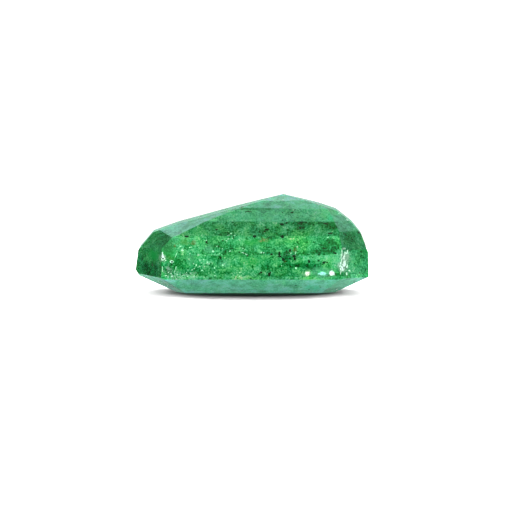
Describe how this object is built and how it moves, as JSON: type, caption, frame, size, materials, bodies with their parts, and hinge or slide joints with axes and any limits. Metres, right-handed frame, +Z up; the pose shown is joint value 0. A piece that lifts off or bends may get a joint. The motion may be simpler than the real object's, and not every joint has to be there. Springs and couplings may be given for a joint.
{
  "type": "cut emerald gemstone",
  "caption": "Loose step-cut emerald, cloudy with inclusions, lying on its flat table face with the pointed culet up.",
  "frame": {"origin": "centre of the stone's outline, on the table face that it lies on", "axes": "+X along the stone's length towards its blunter, higher end, +Y away from the side that the picture shows, +Z up from the table to the culet"},
  "size_m": [0.013, 0.0086, 0.0054],
  "materials": {
    "emerald": "polished clear green beryl, cloudy with cracks, veils and dark flecks"
  },
  "bodies": {
    "root": {"emerald": "emerald"}
  },
  "joints": []
}
